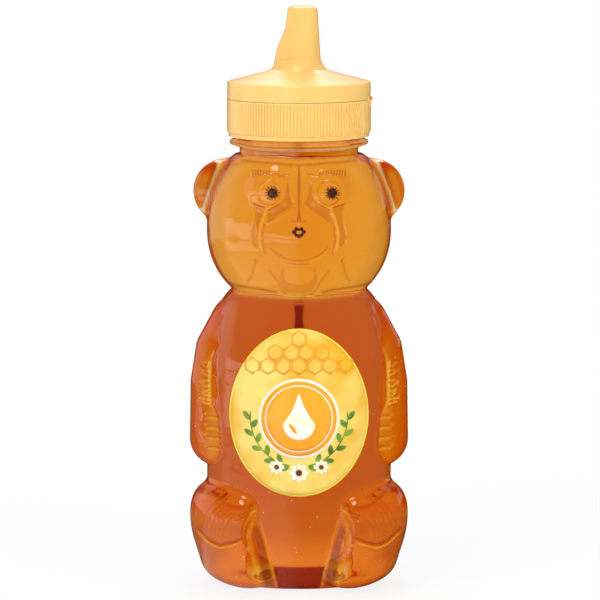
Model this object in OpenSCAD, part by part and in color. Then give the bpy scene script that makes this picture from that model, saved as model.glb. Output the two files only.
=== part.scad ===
// Squeeze bottle in the shape of a sitting bear, filled with honey.
// A ribbed screw cap carries a spout, and a tall flip lid closes over it.
// The bear faces -Y and stands on z = 0. The neck's axis is x = 0, y = 0.

/* [Torso] */
// Width of the torso without its arms
torso_w = 53.2; // [50:0.1:56]
// Depth of the torso from belly to back
torso_d = 50; // [48:0.1:52]
// Height of the waist, where the head sits on the torso
waist_z = 86.6; // [84:0.1:90]
// How far the belly draws back where it meets the floor
belly_tuck = 3; // [2:0.1:4]
// Rounding of the edge that the bottle stands on
foot_edge = 6; // [5:0.1:6.5]

/* [Head] */
// Width of the head
head_w = 52.6; // [50:0.1:55]
// Depth of the head without its muzzle
head_d = 47.2; // [45:0.1:50]
// Height of the head, from the waist to the shoulder below the neck
head_h = 39; // [37:0.1:42]
// Distance from the tip of one ear to the tip of the other
ear_span = 60.4; // [59:0.1:64]
// Height of an ear
ear_h = 17.8; // [15:0.1:19]
// Thickness of an ear, front to back
ear_t = 10.4; // [9:0.1:12]
// Width of the muzzle
muzzle_w = 22.4; // [20:0.1:25]
// Height of the muzzle
muzzle_h = 16.4; // [14:0.1:18]
// How far the muzzle stands out of the face
muzzle_out = 2.2; // [1.5:0.1:3]
// Distance between the centres of the eyes
eye_pitch = 16.8; // [15:0.1:18]

/* [Arms and legs] */
// Width over both arms
arm_span = 63.8; // [62:0.1:68]
// Thickness of an arm at the paw
arm_t = 16.6; // [15:0.1:18]
// Height of the middle of the paws
paw_z = 43.2; // [41:0.1:46]
// Width over both thighs
leg_span = 63.4; // [62:0.1:68]
// Height of the thighs
thigh_h = 22.8; // [22:0.1:24.6]
// Length of a foot, heel to toe
foot_l = 33.6; // [32:0.1:35]
// Width of a foot
foot_w = 19.6; // [18.6:0.1:21]
// Angle by which the toes turn inwards
toe_in = 27; // [20:1:32]
// Angle by which the knees turn inwards
knee_in = 20; // [14:1:26]

/* [Wall and filling] */
// Thickness of the blown wall
wall = 0.85; // [0.6:0.05:1.2]
// Height of the dome that is pushed up under the bottle
push_up = 2.4; // [1:0.1:4]
// Distance from the rim of the neck down to the honey
headspace = 8.4; // [5:0.1:12]
// Gap between the honey and the wall
honey_gap = 0.15; // [0.1:0.05:0.3]

/* [Neck finish] */
// Outer diameter of the neck between its threads
neck_d = 34.4; // [33.8:0.1:34.6]
// Bore of the neck
bore_d = 31.8; // [31:0.1:32.2]
// Height of the middle of the bead above the shoulder
bead_rise = 3.8; // [3.4:0.1:5]
// Diameter of the bead below the cap
bead_d = 40.2; // [39.6:0.1:41]
// Thickness of the bead at its edge
bead_t = 1; // [0.8:0.1:1.2]
// Height of the rim above the middle of the bead
rim_rise = 11.5; // [11.4:0.1:12]
// Diameter over the thread
thread_d = 37.4; // [37:0.1:37.5]
// Rise of the thread in one turn
thread_pitch = 4.233; // [4:0.001:4.4]
// Width of a thread at its root
thread_w = 2.2; // [1.8:0.1:2.3]
// Turns of thread on the neck
thread_turns = 1.1; // [0.9:0.1:1.2]
// Thickness of the foil seal on the rim
seal_t = 0.15; // [0.1:0.05:0.2]

/* [Cap] */
// Outer diameter of the cap
cap_d = 41.7; // [41.4:0.1:43]
// Height of the skirt below the lid
skirt_h = 10.8; // [10.4:0.1:11]
// Diameter inside the skirt, between its threads
skirt_bore_d = 38.3; // [38.2:0.1:38.6]
// Diameter inside the skirt's thread
cap_thread_d = 35.3; // [35.2:0.1:35.6]
// Thickness of the deck under the lid
deck_t = 1.4; // [1:0.1:1.8]
// Thickness of the foam liner under the deck
liner_t = 0.75; // [0.5:0.05:1]
// Ribs that a full circle would hold
rib_count = 136; // [110:2:150]
// Depth of the grooves between the ribs
rib_depth = 0.3; // [0.2:0.05:0.4]
// Angle without ribs at the thumb, opposite the hinge
thumb_angle = 76; // [60:1:90]
// Angle without ribs at the hinge
hinge_angle = 52; // [48:1:60]
// Height of the plain rim below the ribs
rim_h = 1.2; // [0.8:0.1:1.6]
// How far the plain rim stands back from the ribs
rim_step = 0.45; // [0.35:0.05:0.6]

/* [Spout] */
// Height of the spout above the deck
spout_h = 15.5; // [14:0.1:15.8]
// Diameter of the spout at its foot
spout_foot_d = 9.2; // [8:0.1:9.6]
// Diameter of the spout at its tip
spout_tip_d = 4.4; // [4.2:0.1:4.6]
// Bore of the spout
orifice_d = 3; // [2.8:0.1:3.2]

/* [Flip lid] */
// Height of the lid's straight band
band_h = 4.8; // [4.4:0.1:5.4]
// Rise of the lid's sloping top
slope_h = 3.1; // [2.8:0.1:3.6]
// Wall of the lid
lid_wall = 1.1; // [0.9:0.05:1.2]
// Height of the lid's tip above the band's lower edge
lid_h = 26.4; // [26:0.1:28]
// Diameter of the lid's tip
tip_d = 8.6; // [8.2:0.1:9]
// Diameter of the tall cone at its foot
cone_foot_d = 12.6; // [12:0.1:13.4]
// Lean of the cone towards the hinge
cone_lean = 2; // [1:0.1:2.5]
// Wall of the tall cone
cone_wall = 0.9; // [0.8:0.05:1]
// Diameter of the pin that stops the spout
pin_d = 2.4; // [2:0.1:2.5]

/* [Hinge] */
// Distance of the hinge line outside the cap
hinge_out = 0.2; // [0.15:0.05:0.4]
// Width of the film hinge
film_w = 8.4; // [6:0.1:9]
// Thickness of the film hinge and of its straps
film_t = 0.5; // [0.4:0.05:0.6]
// Width of a strap beside the film
strap_w = 2.4; // [2:0.1:3]
// Height of a strap above the hinge line
strap_h = 2.8; // [2.4:0.1:3.2]

/* [Label and prints] */
// Width of the front label, measured straight across
label_w = 40; // [36:0.1:42]
// Height of the front label
label_h = 48.4; // [44:0.1:50]
// Height of the label's middle
label_z = 53.8; // [53:0.1:57]
// Thickness of the label
label_t = 0.15; // [0.1:0.05:0.2]
// Gap of the label and the prints to the skin
skin_gap = 0.16; // [0.12:0.01:0.2]
// Diameter of a printed pupil
pupil_d = 3; // [2.4:0.1:3.6]
// Width of the printed nose
nose_w = 3.4; // [2.8:0.1:4]
// Thickness of the ink
ink_t = 0.1; // [0.08:0.01:0.15]

/* [Hidden] */

// Columns up one half of the bear: stretches of [from, to, steps], in degrees
// from the front, closest at the ears and the arms
sectors = [[0, 36, 6], [36, 76, 5], [76, 104, 6], [104, 180, 7]];
half_angles = [for (s = sectors) for (i = [1:s[2]]) s[0] + (s[1] - s[0]) * i / s[2]];
half_columns = len(half_angles);
columns = 2 * half_columns;
// Halvings of the search for the skin along one line
halvings = 12;
// Facets of round pieces and segments in one turn of thread
round_fn = 96;
turn_segments = 30;

// Heights, from the floor up
shoulder_z = waist_z + head_h;
bead_z = shoulder_z + bead_rise;
rim_z = bead_z + rim_rise;
running_gap = 0.1;
liner_z = rim_z + seal_t + running_gap;
deck_z = liner_z + liner_t + running_gap;
ledge_z = deck_z - running_gap / 2;
lid_z = deck_z + running_gap / 2;
tip_z = lid_z + lid_h;
skirt_z = deck_z - skirt_h;
spout_z = deck_z + deck_t;
spout_tip_z = spout_z + spout_h;
fill_z = rim_z - headspace;

// The neck's thread ends this far below the rim; the cap's runs half a pitch under it
thread_drop = 2.4;
cap_thread_z = rim_z - thread_drop - thread_pitch * (thread_turns + 0.5);
// The cap's thread starts at the angle where its root clears the skirt's lower edge
cap_thread_from = 360 * (skirt_z + thread_w / 2 + 0.3 - cap_thread_z) / thread_pitch;

// Radii
neck_r = neck_d / 2;
bore_r = bore_d / 2;
cap_r = cap_d / 2;
lid_r = cap_r - running_gap;
hinge_x = cap_r + hinge_out;
orifice_r = orifice_d / 2;
band_wall = lid_wall + 0.1;
deck_r = lid_r - band_wall - 0.25;

// Middle of each part of the bear, for its own half of the mirror plane
torso_mid = [0, 1.2, 0.485 * waist_z];
torso_up = waist_z + 2.4 - torso_mid.z;
torso_down = 1.24 * torso_mid.z;
head_mid = [0, 0.6, waist_z + 0.446 * head_h];
head_up = 0.833 * head_h;
head_down = 0.605 * head_h;
ear_mid = [ear_span / 2 - ear_h / 2, 0.5, head_mid.z + 0.282 * head_h];
ear_r = [ear_h / 2, ear_t / 2, ear_h / 2];
paw_r = arm_t / 2;
arm_x = arm_span / 2 - paw_r;
arm_top = [arm_x - 4, -1, 0.866 * waist_z];
arm_elbow = [arm_x - 0.4, -2, 0.716 * waist_z];
arm_paw = [arm_x, -5, paw_z];
thigh_r = [11.7, 16.5, thigh_h / 2];
thigh_mid = [leg_span / 2 - 1.06 * thigh_r.x, -9, 1.8 * thigh_r.z];
knee_r = [3.8, 7.5, 5];
knee_mid = thigh_mid + [-3.9, -8.8, 1.9];
foot_r = [foot_w / 2, foot_l / 2, 10.3];
foot_mid = [leg_span / 2 - 1.48 * foot_r.x, -10.5, foot_r.z - 1.7];
muzzle_r = [muzzle_w / 2, 7.2, muzzle_h / 2];
muzzle_mid = [0, -head_d / 2 + head_mid.y + muzzle_r.y - muzzle_out, head_mid.z + 0.3];
chin_r = [8.8, 5.6, 7.2];
chin_mid = [0, muzzle_mid.y + 1.4, muzzle_mid.z - 9.5];
eye_r = [5.2, 4.4, 5.2];
eye_mid = [eye_pitch / 2, -head_d / 2 + 1.27 * eye_r.y, head_mid.z + 0.3385 * head_h];
// The shoulder ends in a collar just wider than the neck
collar_r = neck_r + 0.2;
// The search for the skin starts well inside it and ends clear of it
search_from = bore_r / 2;
search_to = 0.3 * (arm_span + leg_span);

// Two bodies joined, or one cut by another, with a fillet of about k
function joined(a, b, k) =
    let (h = max(k - abs(a - b), 0) / k) min(a, b) - h * h * k / 4;
function cut_by(a, b, k) = -joined(-a, -b, k);

// Point p turned back by angle a about the upright line through mid
function turned(p, mid, a) =
    let (d = p - mid)
    mid + [d.x * cos(a) - d.y * sin(a), d.x * sin(a) + d.y * cos(a), d.z];

// Distance from p to a rounded blob; n and m square its plan and its side
function blob(p, mid, r, n = 2, m = 2) =
    let (
        d = p - mid,
        plan = pow(abs(d.x) / r.x, n) + pow(abs(d.y) / r.y, n),
        s = pow(pow(plan, m / n) + pow(abs(d.z) / r.z, m), 1 / m)
    )
    s < 0.001 ? -min(r) : norm(d) * (1 - 1 / s);

// Distance from p to a limb that tapers from a to b, deeper than wide
function limb(p, a, b, ra, rb, deep) =
    let (
        squeeze = [1, 1 / deep, 1],
        u = [for (i = [0:2]) (p[i] - a[i]) * squeeze[i]],
        v = [for (i = [0:2]) (b[i] - a[i]) * squeeze[i]],
        h = min(max(u * v / (v * v), 0), 1)
    )
    norm(u - h * v) - (ra + (rb - ra) * h);

// Distance from a point to the bear's skin, negative inside
function bear(x, y, z) =
    let (
        p = [abs(x), y, z],
        tuck = y < torso_mid.y ? belly_tuck * pow(max(0, 1 - z / 30), 1.5) : 0,
        torso_r = [torso_w / 2, torso_d / 2 - tuck, z > torso_mid.z ? torso_up : torso_down],
        torso = blob(p, torso_mid, torso_r, 2.4, 4.2),
        head_r = [head_w / 2, head_d / 2, z > head_mid.z ? head_up : head_down],
        head = cut_by(blob(p, head_mid, head_r, 2.2, 2.15), z - shoulder_z, 3),
        ear = blob(p, ear_mid, ear_r),
        arm = min(limb(p, arm_top, arm_elbow, paw_r - 0.8, paw_r, 1.3),
                  limb(p, arm_elbow, arm_paw, paw_r, paw_r, 1.3)),
        thigh = blob(turned(p, thigh_mid, knee_in), thigh_mid, thigh_r, 2.2, 2.4),
        foot = blob(turned(p, foot_mid, toe_in), foot_mid, foot_r, 2.1, 2.2),
        leg = joined(joined(thigh, blob(p, knee_mid, knee_r), 5), foot, 7),
        muzzle = blob(p, muzzle_mid, muzzle_r),
        chin = blob(p, chin_mid, chin_r),
        eye = blob(p, eye_mid, eye_r),
        collar = max(norm([x, y]) - collar_r, z - shoulder_z - 4),
        trunk = joined(joined(joined(torso, head, 1.5), ear, 1.2), collar, 2),
        limbs = joined(joined(trunk, arm, 2), leg, 2.5),
        face = joined(joined(limbs, muzzle, 2.5), chin, 2.5)
    )
    cut_by(joined(face, eye, 3), -z, foot_edge);

// Reach of the skin from the axis, at height z and angle a, inset into it
function reach(z, a, inset, lo = search_from, hi = search_to, n = halvings) =
    n == 0
        ? (lo + hi) / 2
        : let (mid = (lo + hi) / 2)
          bear(mid * cos(a), mid * sin(a), z) < -inset
              ? reach(z, a, inset, mid, hi, n - 1)
              : reach(z, a, inset, lo, mid, n - 1);

// Angle of column i, from the front round to the back and on to the front
function column(i) =
    i == 0 ? -90 : i <= half_columns ? half_angles[i - 1] - 90 : -180 - column(columns - i);

// One ring of the skin; its left half mirrors its right half
function skin_ring(z, inset, just_inside = 0) =
    let (
        half = [for (i = [0:half_columns]) reach(z + just_inside, column(i), inset)]
    )
    [for (i = [0:columns - 1])
        let (r = half[i <= half_columns ? i : columns - i])
        [r * cos(column(i)), r * sin(column(i)), z]];
function round_ring(z, r) =
    [for (i = [0:columns - 1]) [r * cos(column(i)), r * sin(column(i)), z]];
function shrunk(ring, s, z) = [for (p = ring) [p.x * s, p.y * s, z]];

// Heights of the rings: stretches of [from, to, steps]
stretches = [
    [0, 4, 3],
    [4, waist_z - 3, 21],
    [waist_z - 3, waist_z + 3, 4],
    [waist_z + 3, shoulder_z - 4.5, 9],
    [shoulder_z - 4.5, shoulder_z, 3]
];
function ring_heights() = [
    for (s = stretches)
        for (i = [0:s[2] - 1])
            s[0] + (s[1] - s[0]) * i / s[2]
];

// Rings of a skin from the pushed-up bottom to just below top_z
function skin_rings(inset, top_z) =
    let (first = skin_ring(inset, inset, 0.03))
    concat(
        [shrunk(first, 0.35, inset + push_up * 0.85), shrunk(first, 0.65, inset + push_up * 0.3),
         shrunk(first, 0.8, inset)],
        [first],
        [for (z = ring_heights()) if (z > inset + 0.3 && z < top_z - 0.1) skin_ring(z, inset)]
    );
function reversed(list) = [for (i = [len(list) - 1:-1:0]) list[i]];

// Closed body through stacked rings, with a point at each end. From ring
// number turn_at on, where a wall comes back down inside, the squares are
// split the other way, so that both faces and the filling match.
module stack(rings, start, end, turn_at) {
    n = columns;
    last = 1 + len(rings) * n;
    points = concat([start], [for (ring = rings) each ring], [end]);
    sides = [
        for (k = [0:len(rings) - 2])
            for (i = [0:n - 1])
                let (
                    a = 1 + k * n + i,
                    b = 1 + k * n + (i + 1) % n
                )
                each (k < turn_at ? [[a, a + n, b], [b, a + n, b + n]]
                                  : [[a, a + n, b + n], [a, b + n, b]])
    ];
    first_fan = [for (i = [0:n - 1]) [0, 1 + i, 1 + (i + 1) % n]];
    last_fan = [for (i = [0:n - 1]) [last, last - n + (i + 1) % n, last - n + i]];
    polyhedron(points, concat(first_fan, sides, last_fan), 4);
}

// Helical ridge from radius root_r to crest_r, rising turns from z
module thread(z, root_r, crest_r, root_w, crest_w, turns, start = 0) {
    steps = round(turns * turn_segments);
    section = [[root_r, -root_w / 2], [crest_r, -crest_w / 2], [crest_r, crest_w / 2], [root_r, root_w / 2]];
    function at(i, s) =
        let (
            a = start + 360 * i / turn_segments,
            fade = min(1, (min(i, steps - i) + 0.3) / 3),
            r = root_r + (section[s][0] - root_r) * fade
        )
        [r * cos(a), r * sin(a), z + thread_pitch * i / turn_segments + section[s][1]];
    points = [for (i = [0:steps]) for (s = [0:3]) at(i, s)];
    walls = [
        for (i = [0:steps - 1])
            for (s = [0:3])
                let (
                    a = 4 * i + s,
                    b = 4 * i + (s + 1) % 4
                )
                each (crest_r > root_r ? [[a, b, a + 4], [b, b + 4, a + 4]]
                                       : [[a, a + 4, b], [b, a + 4, b + 4]])
    ];
    e = 4 * steps;
    ends = crest_r > root_r
        ? [[0, 2, 1], [0, 3, 2], [e, e + 1, e + 2], [e, e + 2, e + 3]]
        : [[0, 1, 2], [0, 2, 3], [e, e + 2, e + 1], [e, e + 3, e + 2]];
    polyhedron(points, concat(walls, ends), 4);
}

// Blown PET skin of the bear with its neck, bead and thread
module bear_bottle() {
    roof_z = shoulder_z - wall;
    outer = concat(skin_rings(0, shoulder_z), [skin_ring(shoulder_z, 0, -0.03)]);
    inner = concat(skin_rings(wall, roof_z), [skin_ring(roof_z, wall, -0.03)]);
    neck_foot_z = roof_z - 0.3;
    color([0.93, 0.62, 0.18, 0.45])
    difference() {
        union() {
            stack(
                concat(outer, [round_ring(shoulder_z, neck_r - 0.2), round_ring(roof_z, bore_r + 0.4)],
                       reversed(inner)),
                [0, 0, push_up], [0, 0, push_up + wall], len(outer)
            );
            rotate_extrude($fn = round_fn)
            polygon([
                [0, neck_foot_z],
                [neck_r, neck_foot_z],
                [neck_r, bead_z - 1.5 * bead_t],
                [bead_d / 2 - 0.2, bead_z - bead_t / 2],
                [bead_d / 2, bead_z],
                [bead_d / 2 - 0.2, bead_z + bead_t / 2],
                [neck_r + 0.6, bead_z + bead_t],
                [neck_r, bead_z + bead_t + 0.4],
                [neck_r, rim_z - 0.3],
                [neck_r - 0.3, rim_z],
                [0, rim_z]
            ]);
            thread(rim_z - thread_drop - thread_pitch * thread_turns, neck_r - 0.4, thread_d / 2,
                   thread_w, thread_w / 2, thread_turns);
        }
        rotate_extrude($fn = round_fn)
        polygon([
            [0, neck_foot_z - 1],
            [bore_r, neck_foot_z - 1],
            [bore_r, rim_z - 0.3],
            [bore_r + 0.3, rim_z],
            [bore_r + 0.3, rim_z + 1],
            [0, rim_z + 1]
        ]);
    }
}

// Honey that fills the bottle up into its neck
module honey() {
    inset = wall + honey_gap;
    top_z = shoulder_z - wall - 0.3 - honey_gap;
    rings = concat(
        skin_rings(inset, top_z),
        [round_ring(top_z, bore_r - honey_gap), round_ring(fill_z, bore_r - honey_gap)]
    );
    color([0.86, 0.45, 0.08, 0.9])
    stack(rings, [0, 0, push_up + inset], [0, 0, fill_z], len(rings));
}

// Aluminium foil welded over the rim
module foil_seal() {
    color([0.85, 0.86, 0.88])
    translate([0, 0, rim_z])
    cylinder(h = seal_t, r = neck_r, $fn = round_fn);
}

// Foam ring that seals between the rim and the deck
module cap_liner() {
    color([0.97, 0.96, 0.93])
    translate([0, 0, liner_z])
    difference() {
        cylinder(h = liner_t, r = neck_r + 0.2, $fn = round_fn);
        translate([0, 0, -1])
        cylinder(h = liner_t + 2, r = orifice_r + 3.5, $fn = round_fn);
    }
}

// Grooves between the ribs, left out at the thumb and at the hinge
module grooves() {
    pitch = 360 / rib_count;
    z0 = skirt_z + rim_h;
    for (i = [0:rib_count - 1]) {
        a = (i + 0.5) * pitch;
        from_hinge = min(a, 360 - a);
        if (from_hinge > hinge_angle / 2 && from_hinge < 180 - thumb_angle / 2)
            rotate([0, 0, a])
            translate([cap_r + 0.05, 0, z0 + 0.3])
            linear_extrude(ledge_z - z0 - 0.9)
            polygon([[-rib_depth - 0.05, 0], [0, -cap_r * sin(pitch) * 0.36], [0, cap_r * sin(pitch) * 0.36]]);
    }
}

// Pocket beside the film in which a strap of the hinge lies, side = -1 or 1
strap_from = asin((film_w / 2 + 0.6) / cap_r);
strap_angle = strap_w / cap_r * 180 / PI;
module strap_plate(side, r0, r1, spare, z0, z1) {
    a0 = strap_from - spare;
    a1 = strap_from + strap_angle + spare;
    translate([0, 0, z0])
    linear_extrude(z1 - z0)
    polygon(concat(
        [for (i = [0:4]) let (a = side * (a0 + (a1 - a0) * i / 4)) [r0 * cos(a), r0 * sin(a)]],
        [for (i = [4:-1:0]) let (a = side * (a0 + (a1 - a0) * i / 4)) [r1 * cos(a), r1 * sin(a)]]
    ));
}

// Ribbed skirt, deck and spout, moulded in one piece
module cap_base() {
    color([0.99, 0.83, 0.52])
    difference() {
        union() {
            rotate_extrude($fn = round_fn)
            polygon([
                [skirt_bore_d / 2, skirt_z],
                [cap_r - rim_step, skirt_z],
                [cap_r - rim_step, skirt_z + rim_h],
                [cap_r, skirt_z + rim_h + 0.15],
                [cap_r, ledge_z - 0.15],
                [cap_r - 0.15, ledge_z],
                [deck_r, ledge_z],
                [deck_r, spout_z - 0.3],
                [deck_r - 0.3, spout_z],
                [spout_foot_d / 2 + 1.2, spout_z],
                [spout_foot_d / 2, spout_z + 0.5],
                [spout_foot_d / 2 - 0.5, spout_z + 1.6],
                [spout_tip_d / 2, spout_tip_z - 0.3],
                [spout_tip_d / 2 - 0.25, spout_tip_z],
                [orifice_r + 0.3, spout_tip_z],
                [orifice_r, spout_tip_z - 0.5],
                [orifice_r, spout_tip_z - 2.5],
                [spout_foot_d / 2 - 1.4, spout_z],
                [spout_foot_d / 2 - 1.4, deck_z],
                [neck_r + 0.7, deck_z],
                [neck_r + 0.7, rim_z - 0.2],
                [skirt_bore_d / 2, rim_z - 1]
            ]);
            thread(cap_thread_z + thread_pitch * cap_thread_from / 360, skirt_bore_d / 2 + 0.4,
                   cap_thread_d / 2, thread_w, thread_w / 2, thread_turns - 0.1, cap_thread_from);
        }
        grooves();
        translate([cap_r - film_t, -film_w / 2 - 0.2, deck_z - 2])
        cube([1, film_w + 0.4, 3]);
        for (side = [-1, 1])
            strap_plate(side, lid_r - film_t - 0.05, cap_r + 1, 0.6, deck_z - 0.9, deck_z + 1);
    }
}

// Thin strip along the hinge line that joins the lid to the skirt
module hinge_film() {
    roll_r = 0.28;
    color([0.99, 0.8, 0.48])
    union() {
        translate([cap_r - film_t, -film_w / 2, deck_z - 2])
        cube([film_t, film_w, 1.9]);
        translate([hinge_x, -film_w / 2, deck_z])
        rotate([-90, 0, 0])
        cylinder(h = film_w, r = roll_r, $fn = 32);
        translate([cap_r - 0.2, -film_w / 2, deck_z - roll_r])
        cube([hinge_out + 0.2, film_w, roll_r - 0.02]);
    }
}

// Sprung strap beside the film; it snaps the lid open and shut
module hinge_strap(side) {
    color([0.99, 0.8, 0.48])
    strap_plate(side, lid_r - film_t, lid_r, 0, deck_z - 0.85, deck_z + strap_h);
}
module hinge_strap_front() { hinge_strap(-1); }
module hinge_strap_rear() { hinge_strap(1); }

// Outline of the lid from its band to the foot of its cone, drawn in by t
module lid_outline(t) {
    top = lid_z + band_h + slope_h;
    foot = cone_foot_d / 2;
    low = t > 0 ? lid_z - 1 : lid_z;
    polygon([
        [0, low],
        [lid_r - (t > 0 ? band_wall : 0), low],
        [lid_r - (t > 0 ? band_wall : 0), lid_z + band_h - 0.3 - t],
        [lid_r - (t > 0 ? band_wall : 0) - 0.3, lid_z + band_h - t],
        [foot + 3.6, top - 0.3 - t],
        [foot + 1.8 - t / 2, top + 0.4 - t],
        [foot + 0.6 - t, top + 1.7 - t],
        [foot - t, top + 3.4 - t],
        [0, top + 3.4 - t]
    ]);
}

// The tall cone, drawn in by t; a lobe away from the hinge clears the spout
module cone(t) {
    foot_z = lid_z + band_h;
    round_r = 0.9;
    lobe_r = tip_d / 2 - 0.5 - t;
    translate([0.35, 0, foot_z])
    rotate([0, cone_lean, 0])
    rotate_extrude($fn = 64)
    polygon([
        [0, 0],
        [cone_foot_d / 2 - t, 0],
        [tip_d / 2 - t, tip_z - foot_z - round_r - t],
        [tip_d / 2 - 0.3 - t, tip_z - foot_z - 0.3 - t],
        [tip_d / 2 - round_r - t, tip_z - foot_z - t],
        [0, tip_z - foot_z - t]
    ]);
    hull() {
        translate([-0.35, 0, tip_z - 6.8 - t])
        cylinder(h = 0.1, r = lobe_r, $fn = 32);
        translate([-2.55, 0, tip_z - 12.2 - t / 2])
        cylinder(h = 0.1, r = lobe_r, $fn = 32);
        translate([-3, 0, foot_z + 2.2 - t])
        cylinder(h = 0.1, r = lobe_r + 1, $fn = 32);
    }
}

// Flip lid: band, sloping top, tall hollow cone and the pin that stops the spout
module flip_lid() {
    pin_r = pin_d / 2;
    pin_z = spout_tip_z - 0.4;
    color([0.99, 0.84, 0.54])
    difference() {
        union() {
            difference() {
                union() {
                    rotate_extrude($fn = round_fn)
                    lid_outline(0);
                    cone(0);
                }
                rotate_extrude($fn = round_fn)
                lid_outline(lid_wall);
                cone(cone_wall);
            }
            translate([0, 0, pin_z + pin_r])
            cylinder(h = tip_z - pin_z - pin_r - 0.5, r = pin_r, $fn = 32);
            translate([0, 0, pin_z + pin_r])
            sphere(r = pin_r, $fn = 32);
        }
        translate([cap_r - film_t - 0.1, -film_w / 2 - 0.2, lid_z - 1])
        cube([2, film_w + 0.4, 1.4]);
        for (side = [-1, 1])
            strap_plate(side, lid_r - film_t - 0.05, cap_r + 1, 0.6, lid_z - 1, deck_z + strap_h + 0.1);
    }
}

// Front of the skin at x and z, standing proud of it by gap
function front(x, z, gap, lo = search_from, hi = search_to, n = halvings + 2) =
    n == 0
        ? -(lo + hi) / 2
        : let (mid = (lo + hi) / 2)
          bear(x, -mid, z) < gap ? front(x, z, gap, mid, hi, n - 1) : front(x, z, gap, lo, mid, n - 1);

// Thin plate that follows the skin, inside an outline given by rim(a)
module skin_plate(x, z, half_w, half_h, egg, thick, rings, sides) {
    function spot(k, i, gap) =
        let (
            a = 360 * i / sides,
            u = k / rings,
            px = x + u * half_w * cos(a) * (1 - egg * sin(a)),
            pz = z + u * half_h * sin(a)
        )
        [px, front(px, pz, gap), pz];
    function face(gap) = concat(
        [[x, front(x, z, gap), z]],
        [for (k = [1:rings]) for (i = [0:sides - 1]) spot(k, i, gap)]
    );
    m = 1 + rings * sides;
    function web(o, flip) = [
        for (i = [0:sides - 1])
            let (j = (i + 1) % sides)
            each concat(
                [flip ? [o, o + 1 + j, o + 1 + i] : [o, o + 1 + i, o + 1 + j]],
                [for (k = [0:rings - 2])
                    let (
                        a = o + 1 + k * sides + i,
                        b = o + 1 + k * sides + j
                    )
                    each (flip ? [[a, b, a + sides], [b, b + sides, a + sides]]
                               : [[a, a + sides, b], [b, a + sides, b + sides]])]
            )
    ];
    edge = 1 + (rings - 1) * sides;
    band = [
        for (i = [0:sides - 1])
            let (
                a = edge + i,
                b = edge + (i + 1) % sides
            )
            each [[a, a + m, b], [b, a + m, b + m]]
    ];
    polyhedron(concat(face(skin_gap), face(skin_gap + thick)), concat(web(0, false), web(m, true), band), 4);
}

// Egg-shaped film label on the belly
module front_label() {
    color([0.98, 0.72, 0.2])
    skin_plate(0, label_z, label_w / 2, label_h / 2, 0.05, label_t, 6, 32);
}

// Pupils and nose, printed in dark ink
module pupil(side) {
    color([0.2, 0.1, 0.06])
    skin_plate(side * eye_pitch / 2 + 0.7, eye_mid.z, pupil_d / 2, pupil_d / 2, 0, ink_t, 1, 16);
}
module left_pupil() { pupil(1); }
module right_pupil() { pupil(-1); }
module nose_print() {
    color([0.2, 0.1, 0.06])
    skin_plate(0, muzzle_mid.z + 2.4, nose_w / 2, nose_w * 0.36, 0, ink_t, 1, 16);
}

bear_bottle();
honey();
foil_seal();
cap_liner();
cap_base();
flip_lid();
hinge_film();
hinge_strap_front();
hinge_strap_rear();
front_label();
left_pupil();
right_pupil();
nose_print();
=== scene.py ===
# Honey bear bottle: a blown, see-through bear full of honey under a ribbed flip-lid cap.
# The sections are the bottle, honey, seal, cap, lid, hinge, label and prints.
import math

import bpy
import numpy as np
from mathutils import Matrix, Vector


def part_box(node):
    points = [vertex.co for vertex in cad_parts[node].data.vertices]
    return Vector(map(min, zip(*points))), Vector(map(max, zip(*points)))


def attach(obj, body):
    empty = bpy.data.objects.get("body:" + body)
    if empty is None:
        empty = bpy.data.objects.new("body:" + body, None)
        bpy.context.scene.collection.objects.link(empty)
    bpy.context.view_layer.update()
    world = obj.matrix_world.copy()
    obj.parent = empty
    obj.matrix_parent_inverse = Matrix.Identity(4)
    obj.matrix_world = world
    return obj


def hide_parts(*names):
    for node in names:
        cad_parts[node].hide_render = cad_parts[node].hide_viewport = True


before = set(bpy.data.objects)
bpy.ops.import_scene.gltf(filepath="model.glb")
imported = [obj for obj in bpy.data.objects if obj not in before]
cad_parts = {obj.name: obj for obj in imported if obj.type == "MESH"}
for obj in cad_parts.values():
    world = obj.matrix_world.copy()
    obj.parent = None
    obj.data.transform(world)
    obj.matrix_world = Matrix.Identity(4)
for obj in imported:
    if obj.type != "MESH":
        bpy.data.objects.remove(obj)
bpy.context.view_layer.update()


# BOTTLE SKIN
# One blown piece of clear PET: a sitting bear with a 38 mm neck, its bead and its thread.
# Both faces of the thin wall are modelled, so that light bends in them as in the real one.
MM = 0.001
rim_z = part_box("bear_bottle")[1][2] / MM
shoulder_z = rim_z - 15.3
waist_z = shoulder_z - 39
wall = 0.85
push_up = 2.4
neck_r = 17.2
bore_r = 15.9
bead_r = 20.1
bead_z = shoulder_z + 3.8
thread_r = 18.7
thread_pitch = 4.233
thread_turns = 1.1
thread_drop = 2.4
foot_edge = 6
belly_tuck = 3
torso_mid = (0, 1.2, waist_z - 44.6)
head_mid = (0, 0.6, waist_z + 17.4)
ear_mid = (21.3, 0.5, head_mid[2] + 11)
paw_r = 8.3
arm_x = 23.6
paw_z = 43.2
thigh_mid = (19.3, -9, 20.5)
knee_mid = (15.4, -17.8, 22.4)
foot_mid = (17.2, -10.5, 8.6)
knee_in = math.radians(20)
toe_in = math.radians(27)
muzzle_mid = (0, -18, head_mid[2] + 0.3)
chin_mid = (0, -16.6, muzzle_mid[2] - 9.5)
eye_mid = (8.4, -18, head_mid[2] + 13.2)


def joined(a, b, k):
    """Two forms run together with a fillet of about k."""
    h = np.maximum(k - np.abs(a - b), 0) / k
    return np.minimum(a, b) - h * h * k / 4


def cut_by(a, b, k):
    """One form cut by another, with a rounded edge of about k."""
    return -joined(-a, -b, k)


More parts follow.
